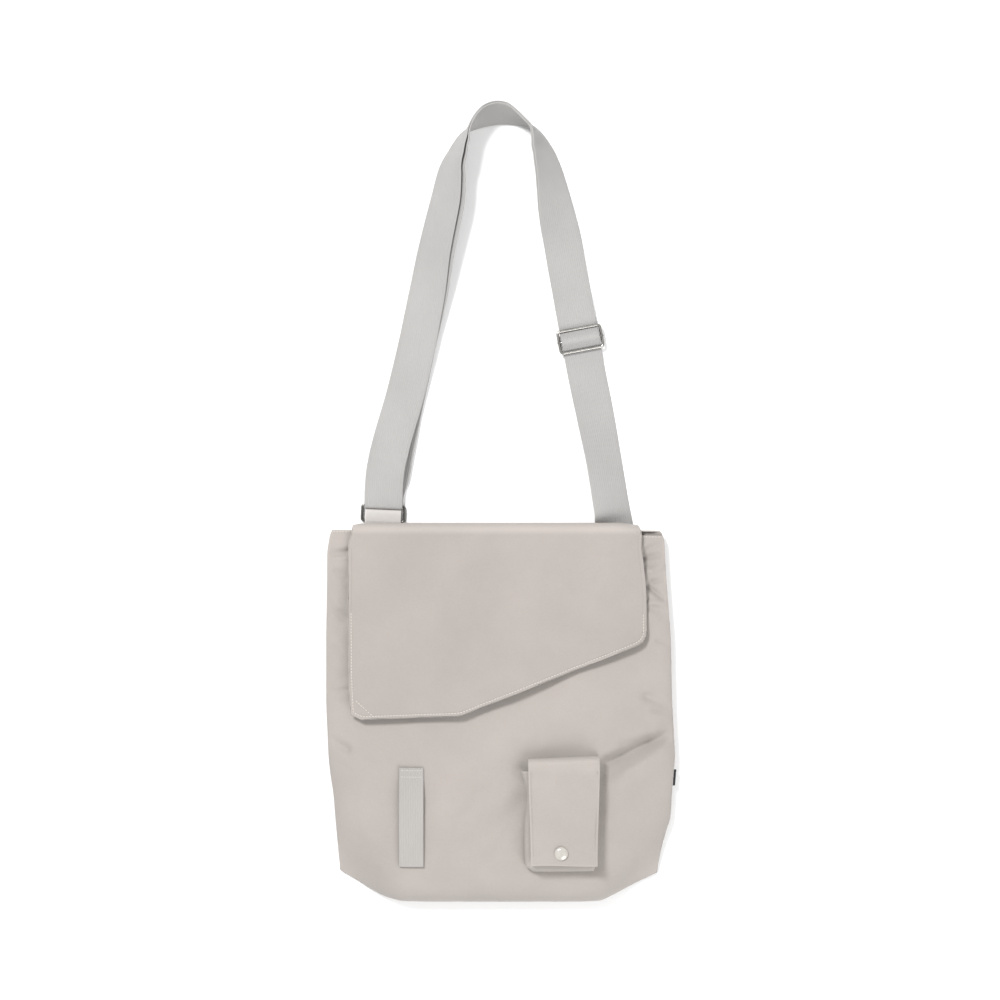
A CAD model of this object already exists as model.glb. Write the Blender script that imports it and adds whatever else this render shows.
import math

import bpy
import numpy as np
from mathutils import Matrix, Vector


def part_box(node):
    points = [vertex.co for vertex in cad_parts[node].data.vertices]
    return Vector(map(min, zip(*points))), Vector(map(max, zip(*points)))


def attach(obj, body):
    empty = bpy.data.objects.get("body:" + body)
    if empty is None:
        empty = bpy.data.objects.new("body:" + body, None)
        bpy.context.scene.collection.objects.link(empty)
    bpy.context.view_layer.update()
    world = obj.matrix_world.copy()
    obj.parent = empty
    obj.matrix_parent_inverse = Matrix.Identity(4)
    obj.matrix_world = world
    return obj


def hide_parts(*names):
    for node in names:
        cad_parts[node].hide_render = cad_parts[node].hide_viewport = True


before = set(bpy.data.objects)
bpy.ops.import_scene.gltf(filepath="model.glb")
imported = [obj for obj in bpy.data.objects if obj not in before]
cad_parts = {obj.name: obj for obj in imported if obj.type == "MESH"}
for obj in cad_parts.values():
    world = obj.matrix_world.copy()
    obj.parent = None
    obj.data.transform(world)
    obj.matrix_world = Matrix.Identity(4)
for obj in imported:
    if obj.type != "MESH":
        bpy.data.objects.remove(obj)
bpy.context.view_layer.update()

# Shapes are worked out in millimetres in the bag's own frame: x to the right, y up the bag with 0 at the
# mouth, z out of the front. to_row turns them into the frame's metres.
MM = 0.001

# Cloth and webbing
FABRIC = 1.2
FLAP_THICK = 2.4
POCKET_FLAP_THICK = 1.8
WEB_WIDTH = 38.0
WEB_THICK = 1.6
GAP = 0.3

# Body
BODY_WIDTH = 346.0
BODY_HEIGHT = 371.0
BODY_DEPTH = 37.0
FRONT_FULLNESS = 2.4
BASE_FULLNESS = 36
BOX_CORNER = 0.56
BACK_FLAT = 0.62
HEM_DROP = 6.0
MOUTH_LIP = 6.0
SEAM_ROOM = 0.8

# Flap
FLAP_LEFT = 151.2
FLAP_WIDTH = 295.6
FLAP_DROP = 187.2
FLAP_REACH = 6.9
FLAP_CLEARANCE = 2.6
FLAP_LIFT = 3.5
ROOT_LENGTH = 62.0
ROOT_RISE = 1.3
ROOT_BEND = 14.0

# Strap
STRAP_RISE = 404.0
STRAP_TAIL = 26.0

# Slider
SLIDER_WIRE = 3.0
SLIDER_WIDTH = 43.0
SLIDER_LENGTH = 22.0
SLIDER_CORNER = 3.0
SLIDER_PLACE = 0.478
SLIDER_BAR_END = 2.0

# Ring and its tab
RING_WIRE = 2.6
RING_WIDTH = 42.0
RING_LENGTH = 15.3
RING_CORNER = 2.0
RING_SLACK = 0.6
RING_SLOPE = 0.03
TAB_WIDTH = 36.0
TAB_ROOT = 50.0

# Small pocket
POUCH_LEFT = 20.5
POUCH_WIDTH = 77.0
POUCH_HEIGHT = 98.5
POUCH_FOOT = 35.5
POUCH_TOP = BODY_HEIGHT - POUCH_FOOT - POUCH_HEIGHT
POUCH_DEPTH = 14.0
POUCH_BOXING = 5
POCKET_FLAP_LEFT = 26.8
POCKET_FLAP_WIDTH = 70.5
POCKET_FLAP_ABOVE = 15.0
POCKET_FLAP_TOP = POUCH_TOP - POCKET_FLAP_ABOVE
POCKET_FLAP_LENGTH = 106.5
POCKET_FLAP_SKEW = 3.0
POCKET_FLAP_NARROWING = 0.07
SNAP_RADIUS = 6.8
SNAP_DOME = 3.2
SNAP_POST = 2.0
SNAP_WASHER = 4.5
SNAP_PLATE = 1.0
SNAP_UP = 12.4
SNAP_ACROSS = 0.455

# Webbing loop and side tab
LOOP_WIDTH = 24.2
LOOP_LENGTH = 97.5
LOOP_LEFT = 100.2
LOOP_FOOT = 39.0
LOOP_TOP = BODY_HEIGHT - LOOP_FOOT - LOOP_LENGTH
LOOP_THICK = 1.4
LOOP_BOW = 1.6
LOOP_RETURN = 12.0
SIDE_TAB_TOP = 0.643 * BODY_HEIGHT
SIDE_TAB_LENGTH = 16.0
SIDE_TAB_REACH = 2.4
SIDE_TAB_THICK = 1.6

# Camera: straight above the photograph's middle, where a millimetre on the floor is a pixel.
CAMERA_HEIGHT = 2.4
PICTURE_WIDTH = 1.0
PICTURE_MIDDLE = (-0.7, 29.5)
SENSOR_MM = 36.0


def table(names, *rows):
    """Named columns from rows of numbers."""
    return {name: np.array(column, float) for name, column in zip(names.split(), zip(*rows))}


# Body outline: down is a share of BODY_HEIGHT, left and right of half BODY_WIDTH.
OUTLINE = table(
    "down left right",
    (0.0, 0.968, 0.91),
    (0.012, 0.98, 0.93),
    (0.03, 0.988, 0.941),
    (0.07, 0.998, 0.945),
    (0.13, 0.998, 0.952),
    (0.2, 1.0, 0.963),
    (0.3, 1.003, 0.978),
    (0.45, 1.003, 0.985),
    (0.55, 0.995, 0.996),
    (0.605, 0.99, 1.002),
    (0.66, 0.978, 0.992),
    (0.71, 0.962, 0.985),
    (0.77, 0.952, 0.977),
    (0.81, 0.945, 0.952),
    (0.87, 0.934, 0.92),
    (0.94, 0.925, 0.9),
)

# Bottom outline: across runs from -1 at the left corner to 1 at the right.
BOTTOM = table(
    "across down",
    (-1.0, 0.918),
    (-0.91, 0.94),
    (-0.795, 0.971),
    (-0.7, 0.989),
    (-0.6, 0.998),
    (-0.4, 1.0),
    (0.4, 1.0),
    (0.63, 0.998),
    (0.722, 0.983),
    (0.8, 0.966),
    (0.872, 0.95),
    (1.0, 0.924),
)

# Front panel's height on its middle line, and the side seams' height, as shares of BODY_DEPTH.
DEPTHS = table(
    "down rise seam",
    (0.0, 0.43, 0.29),
    (0.1, 0.5, 0.3),
    (0.25, 0.64, 0.31),
    (0.4, 0.78, 0.31),
    (0.55, 0.89, 0.3),
    (0.7, 0.96, 0.26),
    (0.82, 1.0, 0.18),
    (0.9, 1.0, 0.08),
    (0.94, 1.0, 0.03),
    (1.0, 0.98, 0.0),
)

# Folds of the front panel on lines from (x1, y1) to (x2, y2). x is a share of half BODY_WIDTH, y of
# BODY_HEIGHT below the mouth, rise of BODY_DEPTH and width of BODY_WIDTH.
FRONT_FOLDS = {
    "left_top_crease": (-0.99, 0.076, -0.87, 0.066, -0.06, 0.014),
    "left_dent": (-0.88, 0.165, -0.92, 0.25, -0.06, 0.025),
    "left_low_crease": (-0.99, 0.457, -0.86, 0.462, -0.03, 0.012),
    "right_top_dent": (0.86, 0.09, 0.96, 0.13, -0.09, 0.018),
    "right_mid_dent": (0.86, 0.198, 0.96, 0.222, -0.08, 0.018),
    "main_valley": (0.93, 0.562, 0.62, 0.638, -0.14, 0.028),
    "ridge_below_valley": (0.95, 0.605, 0.7, 0.675, 0.09, 0.034),
    "ridge_above_valley": (0.88, 0.52, 0.57, 0.595, 0.06, 0.036),
    "soft_valley_above_pocket": (-0.18, 0.555, 0.14, 0.63, -0.06, 0.055),
    "soft_valley_beside_pocket": (-0.34, 0.86, 0.1, 0.71, -0.06, 0.06),
}

# Finer folds that only show close to, in the same columns.
FINE_FOLDS = {
    "left_top_valley": (-0.99, 0.064, -0.88, 0.057, -0.07, 0.01),
    "left_top_ridge": (-0.99, 0.079, -0.88, 0.075, 0.035, 0.007),
    "left_upper_bump": (-0.94, 0.112, -0.89, 0.13, -0.045, 0.014),
    "left_middle_ridge": (-0.98, 0.175, -0.93, 0.205, 0.035, 0.012),
    "left_middle_bump": (-0.94, 0.222, -0.89, 0.24, -0.05, 0.016),
    "left_low_line": (-0.99, 0.43, -0.88, 0.428, -0.035, 0.007),
    "left_edge_pull": (-0.98, 0.56, -0.88, 0.585, -0.08, 0.013),
    "right_top_facet": (0.82, 0.06, 0.93, 0.034, -0.07, 0.011),
    "right_top_valley": (0.8, 0.077, 0.91, 0.067, -0.11, 0.01),
    "right_top_ridge": (0.86, 0.11, 0.955, 0.096, 0.07, 0.011),
    "right_mid_valley": (0.87, 0.14, 0.955, 0.129, -0.09, 0.008),
    "right_slant_valley": (0.84, 0.15, 0.93, 0.183, -0.11, 0.009),
    "right_mid_ridge": (0.86, 0.196, 0.95, 0.2, 0.075, 0.009),
    "right_spot": (0.9, 0.298, 0.95, 0.3, -0.05, 0.008),
    "right_low_valley": (0.84, 0.445, 0.97, 0.472, -0.07, 0.014),
    "right_low_ridge": (0.86, 0.492, 0.98, 0.505, 0.045, 0.012),
    "valley_core": (0.955, 0.548, 0.61, 0.616, -0.13, 0.016),
    "valley_branch": (0.84, 0.56, 0.7, 0.57, -0.04, 0.014),
    "valley_lip": (0.95, 0.58, 0.72, 0.64, 0.04, 0.014),
    "pocket_top_dent": (0.11, 0.642, 0.16, 0.66, -0.05, 0.018),
    "pocket_side_fold": (0.12, 0.72, -0.12, 0.86, -0.05, 0.03),
    "middle_fold": (0.02, 0.64, -0.2, 0.76, -0.04, 0.03),
    "corner_pull_right": (0.6, 0.93, 0.86, 0.86, 0.04, 0.04),
    "corner_pull_left": (-0.6, 0.93, -0.88, 0.85, 0.04, 0.04),
}

# Flap outline: how far its lower edge hangs at each place across, as a share of FLAP_DROP.
FLAP_EDGE = table(
    "across drop",
    (0.0, 0.972),
    (0.036, 1.0),
    (0.17, 0.991),
    (0.36, 0.98),
    (0.378, 0.975),
    (0.966, 0.614),
    (0.986, 0.596),
    (0.997, 0.566),
    (1.0, 0.535),
)

# Flap sides: inset from the straight sides, as a share of FLAP_WIDTH.
FLAP_SIDES = table(
    "down left right",
    (-0.04, 0.016, 0.032),
    (0.03, 0.008, 0.014),
    (0.08, 0.0, 0.016),
    (0.16, 0.0, 0.011),
    (0.38, 0.0, 0.0),
    (0.8, 0.004, 0.0),
    (1.0, 0.011, 0.0),
)

# Places across where the folded top's ends round off, drop as a share of FLAP_DROP.
FLAP_SHOULDERS = table(
    "across drop",
    (0.0, 0.012),
    (0.03, 0.004),
    (0.1, 0.0),
    (0.93, 0.0),
    (1.0, 0.014),
)

# Soft waves of the flap, in the same columns as FRONT_FOLDS.
FLAP_WAVES = {
    "top_left_ridge": (-0.62, 0.02, -0.3, 0.1, 0.05, 0.05),
    "top_valley": (-0.3, 0.08, 0.12, 0.02, -0.05, 0.045),
    "left_valley": (-0.6, 0.25, -0.3, 0.11, -0.04, 0.07),
    "middle_ridge": (0.0, 0.33, 0.35, 0.2, 0.05, 0.09),
}

# The strap's edge on the surface: x is a share of half BODY_WIDTH and y of STRAP_RISE. roll turns the
# webbing up on that edge, in degrees. spread opens the layers and slide moves the under one sideways,
# as shares of WEB_WIDTH.
STRAP_LINE = table(
    "x y roll spread slide",
    (0.792, -0.12, 0, 0, 0),
    (0.765, 0.009, 0, 0, 0),
    (0.74, 0.063, 19, 0, 0),
    (0.7, 0.165, 20, 0, 0),
    (0.647, 0.301, 8, 0, 0),
    (0.604, 0.395, 0, 0, 0),
    (0.568, 0.4765, 0, 0, 0),
    (0.528, 0.568, 0, 0, 0),
    (0.49, 0.657, 2, 0, 0),
    (0.454, 0.736, 8, 0, 0),
    (0.399, 0.8156, 27, 0, 0),
    (0.369, 0.855, 38, 0, 0),
    (0.3365, 0.895, 47, 0, 0),
    (0.2955, 0.934, 55, 0, 0),
    (0.265, 0.954, 61, 0, 0),
    (0.2295, 0.974, 70, 0, 0),
    (0.181, 0.9915, 82, 0, 0),
    (0.132, 0.997, 91, 0, 0),
    (0.077, 1.0, 103, 0, 0),
    (0.029, 1.001, 113, 0, 0),
    (-0.021, 1.0, 116, 0, 0),
    (-0.079, 0.9955, 112, 0, 0),
    (-0.131, 0.9905, 101, 0, 0),
    (-0.177, 0.984, 87, 0.02, 0),
    (-0.2115, 0.974, 77, 0.03, 0),
    (-0.245, 0.954, 71, 0.045, 0),
    (-0.272, 0.934, 65, 0.06, 0.01),
    (-0.328, 0.895, 52, 0.06, 0.04),
    (-0.387, 0.8156, 38, 0.05, 0.08),
    (-0.462, 0.697, 30, 0.04, 0.07),
    (-0.528, 0.578, 16, 0.02, 0.04),
    (-0.59, 0.459, 10, 0, 0),
    (-0.658, 0.34, 4, 0.03, 0.02),
    (-0.732, 0.225, 4, 0.15, 0.12),
    (-0.768, 0.152, 4, 0.2, 0.14),
    (-0.781, 0.107, 2, 0.12, 0.1),
    (-0.786, 0.061, 0, 0.08, 0),
)

# Bends of the strap's outer layer: share of the strap's whole line, lean across it in mm, rise and width
# in mm.
STRAP_BENDS = {
    "left_low_bend": (0.945, 6, 1.4, 7),
    "left_low_crease": (0.972, 12, -1.2, 3.5),
    "left_high_crease": (0.585, -6, -0.9, 5),
    "right_crease": (0.292, 5, -1.0, 3),
    "right_low_crease": (0.252, 4, -0.7, 3),
    "foot_dent": (0.075, 8, -1.0, 6),
}

# Sides of the pouch, pinched below its top and drawn in at its foot: insets as shares of POUCH_WIDTH.
POUCH_PINCH = table(
    "down left right",
    (0.0, 0.0, 0.02),
    (0.26, 0.075, 0.03),
    (0.55, 0.04, 0.045),
    (0.93, 0.05, 0.055),
    (1.0, 0.15, 0.085),
)


def mix(a, b, t):
    return a + (b - a) * t


def ramp(a, b, v):
    """Smooth step from 0 at a to 1 at b; a may be above b."""
    t = np.clip((v - a) / (b - a), 0, 1)
    return t * t * (3 - 2 * t)


def read(columns, key, column, at):
    """A column of a table at places in its key column, on a smooth curve that doesn't overshoot."""
    keys, values = columns[key], columns[column]
    at = np.clip(at, keys[0], keys[-1])
    step = np.diff(values) / np.diff(keys)
    slope = np.concatenate(([step[0]], np.zeros(len(keys) - 2), [step[-1]]))
    same_way = step[:-1] * step[1:] > 0
    total = np.where(same_way, step[:-1] + step[1:], 1)
    slope[1:-1] = np.where(same_way, 2 * step[:-1] * step[1:] / total, 0)
    i = np.clip(np.searchsorted(keys, at, side="left") - 1, 0, len(keys) - 2)
    span = keys[i + 1] - keys[i]
    t = (at - keys[i]) / span
    ends = mix(values[i], values[i + 1], t * t * (3 - 2 * t))
    return ends + span * t * (1 - t) * ((1 - t) * slope[i] - t * slope[i + 1])


def bell(away):
    """Soft bump: 1 at 0, nearly 0 at 2."""
    return np.exp(-away * away)


def lengths_along(grid, axis=0):
    """Length along the lines of a grid or list of points, from 0 at their start."""
    steps = np.linalg.norm(np.diff(grid, axis=axis), axis=-1)
    start = np.zeros_like(np.take(steps, [0], axis=axis))
    return np.concatenate((start, np.cumsum(steps, axis=axis)), axis=axis)


def at_lengths(lengths, reach, points):
    """Places on a line at lengths along it, where reach is the length at each of its points."""
    return np.stack([np.interp(lengths, reach, column) for column in points.T], axis=-1)


def away_from(line, x, y):
    """Distance of places from a line of points."""
    nearest = np.full(np.broadcast(x, y).shape, np.inf)
    for (ax, ay), (bx, by) in zip(line, line[1:]):
        dx, dy = bx - ax, by - ay
        t = np.clip(((x - ax) * dx + (y - ay) * dy) / (dx * dx + dy * dy), 0, 1)
        nearest = np.minimum(nearest, np.hypot(x - ax - t * dx, y - ay - t * dy))
    return nearest


def crowded(split, even, close, power):
    """Shares from 0 to 1: even ones up to split, then close ones that crowd towards 1."""
    rest = (1 - np.linspace(0, 1, close)[1:]) ** power
    return np.concatenate((np.linspace(0, split, even), 1 - (1 - split) * rest))


def fold_height(folds, x, y):
    """Height that a table of folds adds: a soft ridge or valley along each line."""
    height = np.zeros(np.broadcast(x, y).shape)
    half = BODY_WIDTH / 2
    for x1, y1, x2, y2, rise, width in folds.values():
        line = ((x1 * half, -y1 * BODY_HEIGHT), (x2 * half, -y2 * BODY_HEIGHT))
        height = height + rise * BODY_DEPTH * bell(away_from(line, x, y) / (width * BODY_WIDTH))
    return height


def ripple(x, y, seed, size, depth):
    """Soft unevenness of cloth: a few slow waves in chance directions, about size apart."""
    chance = np.random.default_rng(seed)
    height = np.zeros(np.broadcast(x, y).shape)
    waves = 9
    for _ in range(waves):
        way = chance.uniform(0, 2 * math.pi)
        reach = size * chance.uniform(0.6, 1.6)
        phase = chance.uniform(0, 2 * math.pi)
        height = height + np.sin((x * math.cos(way) + y * math.sin(way)) * 2 * math.pi / reach + phase)
    return depth * height / math.sqrt(waves)


def seam_x(side, y):
    column = "left" if side < 0 else "right"
    return side * (BODY_WIDTH / 2 * read(OUTLINE, "down", column, -y / BODY_HEIGHT) - FABRIC / 2)


def across_at(x, y):
    left, right = seam_x(-1, y), seam_x(1, y)
    return np.clip((2 * x - left - right) / (right - left), -1, 1)


def bottom_y(across):
    return -BODY_HEIGHT * read(BOTTOM, "across", "down", across) + FABRIC / 2


def seam_z(y):
    return FABRIC / 2 + SEAM_ROOM + BODY_DEPTH * read(DEPTHS, "down", "seam", -y / BODY_HEIGHT)


def hem_y(across):
    return -HEM_DROP * (1 + across) / 2


def front_smooth(x, y):
    """Middle of the front panel's cloth without its folds."""
    across = across_at(x, y)
    down = np.clip(y / bottom_y(across), 0, 1)
    foot = seam_z(y) + SEAM_ROOM
    soft = np.sqrt(1 - np.abs(across) ** FRONT_FULLNESS)
    boxed = 1 - ramp(BOX_CORNER, 1, np.abs(across))
    crown = mix(soft, boxed, ramp(0.8, 1, down)) * np.sqrt(1 - down**BASE_FULLNESS)
    return foot + (BODY_DEPTH * read(DEPTHS, "down", "rise", -y / BODY_HEIGHT) - foot) * crown


def front_mid(x, y):
    across = across_at(x, y)
    down = np.clip(y / bottom_y(across), 0, 1)
    fade = (1 - np.abs(across) ** 12) * (1 - down**12)
    return front_smooth(x, y) + fade * fold_height(FRONT_FOLDS, x, y)


def root_z(y):
    return 2 * FABRIC + 2 * GAP + FLAP_THICK / 2 + ROOT_RISE * ramp(-ROOT_BEND, 0, y)


def back_lift(y):
    stack = root_z(y) + FLAP_THICK / 2 + 2 * GAP
    return stack * ramp(-ROOT_LENGTH - 40, -ROOT_LENGTH - 5, y)


def back_mid(across, y):
    flat = FABRIC / 2 + back_lift(y)
    turn = np.clip((np.abs(across) - BACK_FLAT) / (1 - BACK_FLAT), 0, 1)
    return flat + np.maximum(0, seam_z(y) - SEAM_ROOM - flat) * (1 - np.sqrt(1 - turn**3))


def flap_mid(x, y):
    under = front_smooth(0.94 * x, np.minimum(y, -HEM_DROP))
    lift = FLAP_LIFT * ramp(0.35, 1.05, -y / FLAP_DROP)
    return under + (FABRIC + FLAP_THICK) / 2 + FLAP_CLEARANCE + lift + fold_height(FLAP_WAVES, x, y)


def flap_x(across, y):
    left = read(FLAP_SIDES, "down", "left", -y / FLAP_DROP)
    right = 1 - read(FLAP_SIDES, "down", "right", -y / FLAP_DROP)
    return -FLAP_LEFT + FLAP_WIDTH * mix(left, right, across)


def pocket_flap_x(across, y):
    middle = POCKET_FLAP_LEFT + POCKET_FLAP_WIDTH / 2
    narrow = 1 - POCKET_FLAP_NARROWING * ramp(-POCKET_FLAP_TOP, -POCKET_FLAP_TOP - POCKET_FLAP_LENGTH, y)
    return middle + (across - 0.5) * POCKET_FLAP_WIDTH * narrow


# The snap's stud is a plain disc about its place, so its box gives the bag's place in the frame.
SNAP_Y = -POCKET_FLAP_TOP - POCKET_FLAP_LENGTH + SNAP_UP
SNAP_X = float(pocket_flap_x(SNAP_ACROSS, SNAP_Y))
stud_low, stud_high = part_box("snap_stud")
front_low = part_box("front_panel")[0]
floor_z = min(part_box(name)[0].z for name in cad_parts)
ORIGIN = np.array(((stud_low.x + stud_high.x) / 2 - SNAP_X * MM, front_low.y + BODY_HEIGHT * MM, floor_z))


def to_row(points):
    return np.asarray(points, float) * MM + ORIGIN


def stacked(*columns):
    """Columns side by side: points from their coordinates, or faces from their corners."""
    return np.stack(columns, axis=-1)


def unit(v):
    return v / np.maximum(np.linalg.norm(v, axis=-1, keepdims=True), 1e-9)


def dots(a, b):
    return np.sum(a * b, axis=-1, keepdims=True)


def normals(grid):
    """Outer normals of a grid of points."""
    along_i = np.gradient(grid, axis=0)
    along_j = np.gradient(grid, axis=1)
    return unit(np.cross(along_j, along_i))


def make_object(name, vertices, faces, material, uv=None, edge=None):
    mesh = bpy.data.meshes.new(name)
    mesh.from_pydata([tuple(v) for v in to_row(vertices)], [], faces)
    mesh.polygons.foreach_set("use_smooth", [True] * len(mesh.polygons))
    if uv is not None:
        corners = np.zeros(len(mesh.loops), np.int32)
        mesh.loops.foreach_get("vertex_index", corners)
        layer = mesh.uv_layers.new(name="cloth")
        layer.data.foreach_set("uv", (np.asarray(uv) * MM)[corners].ravel())
    if edge is not None:
        worn = mesh.attributes.new("edge", "FLOAT", "POINT")
        worn.data.foreach_set("value", np.asarray(edge, np.float32))
    mesh.materials.append(material)
    mesh.update()
    made = bpy.data.objects.new(name, mesh)
    bpy.context.scene.collection.objects.link(made)
    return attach(made, "root")


RIM_ANGLES = np.radians([30, 60, 90, 120, 150])


def cloth(name, grid, thick, material, worn=None):
    """A sheet of cloth about a grid of points in mm, with round edges. Its UVs are in metres along the
    cloth, and its attribute edge is the distance to the nearest edge in mm, or less where worn says so."""
    grid = np.asarray(grid, float)
    rows = grid.shape[1]
    normal = normals(grid)
    half = thick / 2
    u = lengths_along(grid, 0)
    v = lengths_along(grid, 1)
    edge = np.minimum(np.minimum(u, u[-1:] - u), np.minimum(v, v[:, -1:] - v))
    if worn is not None:
        edge = np.minimum(edge, worn)
    out = np.zeros_like(grid)
    out[0] += unit(grid[0] - grid[1])
    out[-1] += unit(grid[-1] - grid[-2])
    out[:, 0] += unit(grid[:, 0] - grid[:, 1])
    out[:, -1] += unit(grid[:, -1] - grid[:, -2])
    out = unit(out - normal * dots(out, normal)) * (np.linalg.norm(out, axis=-1, keepdims=True) > 0)
    middle = grid - out * half
    upper = (middle + normal * half).reshape(-1, 3)
    lower = (middle - normal * half).reshape(-1, 3)
    number = np.arange(grid.shape[0] * rows).reshape(grid.shape[:2])
    a, b = number[:-1, :-1], number[1:, :-1]
    c, d = number[1:, 1:], number[:-1, 1:]
    top = stacked(a, d, c, b).reshape(-1, 4)
    faces = np.concatenate((top, top[:, ::-1] + number.size)).tolist()
    ring = np.concatenate((number[0, :0:-1], number[:-1, 0], number[-1, :-1], number[:0:-1, -1]))
    flat_mid, flat_normal, flat_out = (q.reshape(-1, 3)[ring] for q in (middle, normal, out))
    vertices = [upper, lower]
    rings = [ring]
    for angle in RIM_ANGLES:
        vertices.append(flat_mid + half * (math.cos(angle) * flat_normal + math.sin(angle) * flat_out))
        rings.append(2 * number.size + len(ring) * (len(rings) - 1) + np.arange(len(ring)))
    rings.append(ring + number.size)
    for first, second in zip(rings, rings[1:]):
        strip = stacked(first, np.roll(first, -1), np.roll(second, -1), second)
        faces += strip.tolist()
    places = np.concatenate([np.arange(number.size)] * 2 + [ring] * len(RIM_ANGLES))
    uv = stacked(u.ravel(), v.ravel())[places]
    return make_object(name, np.concatenate(vertices), faces, material, uv, edge.ravel()[places])


def tube(name, points, radius, material, closed=True, sides=18):
    """A round wire along points, its ends closed where it isn't a loop."""
    points = np.asarray(points, float)
    if closed:
        along = unit(np.roll(points, -1, axis=0) - np.roll(points, 1, axis=0))
    else:
        along = unit(np.gradient(points, axis=0))
    up = np.array((0.0, 0.0, 1.0))
    side = unit(np.cross(along, up))
    lift = np.cross(side, along)
    angles = np.linspace(0, 2 * math.pi, sides, endpoint=False)
    around = np.cos(angles)[None, :, None] * side[:, None] + np.sin(angles)[None, :, None] * lift[:, None]
    vertices = (points[:, None] + radius * around).reshape(-1, 3)
    faces = []
    count = len(points)
    for k in range(count if closed else count - 1):
        here, there = k * sides, (k + 1) % count * sides
        for s in range(sides):
            t = (s + 1) % sides
            faces.append((here + s, here + t, there + t, there + s))
    if not closed:
        faces.append(tuple(range(sides))[::-1])
        faces.append(tuple((count - 1) * sides + s for s in range(sides)))
    return make_object(name, vertices, faces, material)


def lathe(name, profile, place, lean, material, sides=48):
    """A turned piece: profile is (radius, height) pairs from axis to axis, leaning about the x axis."""
    angles = np.linspace(0, 2 * math.pi, sides, endpoint=False)
    vertices = []
    for radius, height in profile:
        for angle in angles:
            x, y = radius * math.cos(angle), radius * math.sin(angle)
            back = y * math.cos(lean) - height * math.sin(lean)
            up = y * math.sin(lean) + height * math.cos(lean)
            vertices.append((place[0] + x, place[1] + back, place[2] + up))
    faces = []
    for k in range(len(profile) - 1):
        here, there = k * sides, (k + 1) * sides
        for s in range(sides):
            t = (s + 1) % sides
            faces.append((here + s, here + t, there + t, there + s))
    made = make_object(name, vertices, faces, material)
    made.data.validate()
    return made


STITCH_SIDES = 6


def stitches(name, runs, material, pitch=3.0, length=2.3, radius=0.3):
    """Thread stitches along runs of points: each is a short round-ended stick that sinks in the cloth."""
    profile = ((-0.5, 0.0), (-0.42, 0.75), (-0.2, 1.0), (0.2, 1.0), (0.42, 0.75), (0.5, 0.0))
    vertices, faces = [], []
    for run in runs:
        run = np.asarray(run, float)
        reach = lengths_along(run)
        count = max(1, int(reach[-1] // pitch))
        step = reach[-1] / count
        for k in range(count):
            ends = [(k + (1 + way * length / pitch) / 2) * step for way in (-1, 1)]
            low, high = at_lengths(ends, reach, run)
            middle, along = (low + high) / 2, high - low
            side = unit(np.cross(along, (0, 0, 1)))
            lift = unit(np.cross(side, along))
            start = len(vertices)
            for place, width in profile:
                for s in range(STITCH_SIDES):
                    angle = 2 * math.pi * s / STITCH_SIDES
                    off = radius * width * (math.cos(angle) * side + math.sin(angle) * lift)
                    vertices.append(middle + along * place + off)
            for ring in range(len(profile) - 1):
                for s in range(STITCH_SIDES):
                    t = (s + 1) % STITCH_SIDES
                    here = start + ring * STITCH_SIDES
                    there = here + STITCH_SIDES
                    faces.append((here + s, here + t, there + t, there + s))
    return make_object(name, np.array(vertices), faces, material)


# Materials
def put(tree, socket, value):
    """Link another node's socket to this one, or set its value."""
    if isinstance(value, bpy.types.NodeSocket):
        tree.links.new(value, socket)
    else:
        socket.default_value = value


def node(tree, kind, **inputs):
    made = tree.nodes.new(kind)
    for name, value in inputs.items():
        put(tree, made.inputs[name.replace("_", " ")], value)
    return made


def maths(tree, operation, first, second=0.0):
    made = tree.nodes.new("ShaderNodeMath")
    made.operation = operation
    for socket, value in zip(made.inputs, (first, second)):
        put(tree, socket, value)
    return made.outputs[0]


def total(tree, *terms):
    """Sum of sockets, each with its weight."""
    parts = [maths(tree, "MULTIPLY", socket, weight) for socket, weight in terms]
    while len(parts) > 1:
        parts[:2] = [maths(tree, "ADD", *parts[:2])]
    return parts[0]


def colour_mix(tree, kind, factor, first, second):
    made = tree.nodes.new("ShaderNodeMix")
    made.data_type = "RGBA"
    made.blend_type = kind
    for number, value in ((0, factor), (6, first), (7, second)):
        put(tree, made.inputs[number], value)
    return made.outputs[2]


def scaled(tree, colour, factor):
    made = node(tree, "ShaderNodeVectorMath")
    made.operation = "SCALE"
    put(tree, made.inputs[0], colour)
    put(tree, made.inputs["Scale"], factor)
    return made.outputs[0]


def add_bump(tree, shader, height, strength, distance):
    bump = node(tree, "ShaderNodeBump", Height=height, Strength=strength, Distance=distance)
    put(tree, shader.inputs["Normal"], bump.outputs["Normal"])


def object_place(tree):
    return node(tree, "ShaderNodeTexCoord").outputs["Object"]


def ramp_colour(tree, factor, stops):
    made = tree.nodes.new("ShaderNodeValToRGB")
    tree.links.new(factor, made.inputs["Fac"])
    elements = made.color_ramp.elements
    while len(elements) < len(stops):
        elements.new(0.5)
    for element, (place, colour) in zip(elements, stops):
        element.position = place
        element.color = (*colour, 1)
    return made.outputs["Color"]


def noise(tree, vector, scale, detail=3.0, roughness=0.5):
    made = node(tree, "ShaderNodeTexNoise", Vector=vector, Scale=scale, Detail=detail, Roughness=roughness)
    return made.outputs["Fac"]


def new_material(name, roughness, metallic=0.0, sheen=0.0, coat=0.0):
    made = bpy.data.materials.new(name)
    made.use_nodes = True
    shader = made.node_tree.nodes["Principled BSDF"]
    shader.inputs["Roughness"].default_value = roughness
    shader.inputs["Metallic"].default_value = metallic
    shader.inputs["Sheen Weight"].default_value = sheen
    shader.inputs["Sheen Roughness"].default_value = 0.5
    shader.inputs["Coat Weight"].default_value = coat
    return made, made.node_tree, shader


def shade(colour, factor):
    return tuple(c * factor for c in colour)


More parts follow.
